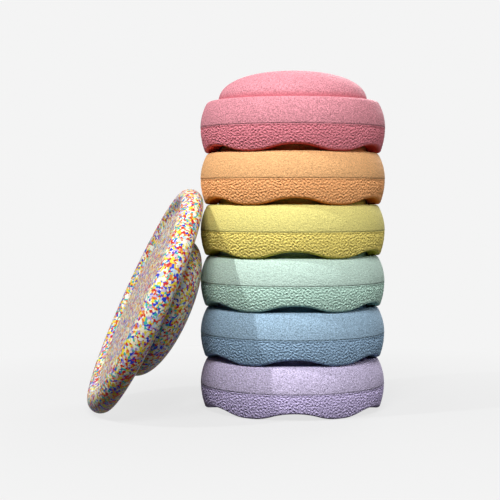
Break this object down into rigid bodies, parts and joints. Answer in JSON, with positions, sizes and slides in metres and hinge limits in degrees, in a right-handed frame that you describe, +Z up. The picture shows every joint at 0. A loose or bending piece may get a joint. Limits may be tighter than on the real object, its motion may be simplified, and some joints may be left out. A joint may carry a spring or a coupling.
{
  "type": "balance stepping stone set",
  "caption": "Tower of nesting round foam stepping stones with domed tops and wavy rims, and a round foam balance board that leans on it, for children's balance play.",
  "frame": {"origin": "on the floor, under the axis of the tower of stones, at the mouth of the lowest stone's hollow", "axes": "+Z up along the tower's axis; the board leans on the tower's -X side; the picture is taken from -Y, with +X to the right"},
  "size_m": [0.4447, 0.3596, 0.501],
  "materials": {
    "lilac_foam": "matte",
    "blue_foam": "matte",
    "mint_foam": "matte",
    "yellow_foam": "matte",
    "orange_foam": "matte",
    "pink_foam": "matte",
    "confetti_foam": "matte"
  },
  "bodies": {
    "lilac_stone": {"lilac_stone": "lilac_foam"},
    "blue_stone": {"blue_stone": "blue_foam"},
    "mint_stone": {"mint_stone": "mint_foam"},
    "yellow_stone": {"yellow_stone": "yellow_foam"},
    "orange_stone": {"orange_stone": "orange_foam"},
    "pink_stone": {"pink_stone": "pink_foam"},
    "balance_board": {"balance_board": "confetti_foam"}
  },
  "joints": [
    {"name": "lift_blue_stone", "type": "slide", "parent": "lilac_stone", "child": "blue_stone", "axis": [0, 0, 1], "range_m": [0, 0.06]},
    {"name": "lift_mint_stone", "type": "slide", "parent": "blue_stone", "child": "mint_stone", "axis": [0, 0, 1], "range_m": [0, 0.06]},
    {"name": "lift_yellow_stone", "type": "slide", "parent": "mint_stone", "child": "yellow_stone", "axis": [0, 0, 1], "range_m": [0, 0.06]},
    {"name": "lift_orange_stone", "type": "slide", "parent": "yellow_stone", "child": "orange_stone", "axis": [0, 0, 1], "range_m": [0, 0.06]},
    {"name": "lift_pink_stone", "type": "slide", "parent": "orange_stone", "child": "pink_stone", "axis": [0, 0, 1], "range_m": [0, 0.06]},
    {"name": "tip_board", "type": "hinge", "parent": "lilac_stone", "child": "balance_board", "pos_m": [-0.28323, -0.05977, 0.017], "axis": [0.1942, -0.981, 0], "range_deg": [0, 114.7]}
  ]
}
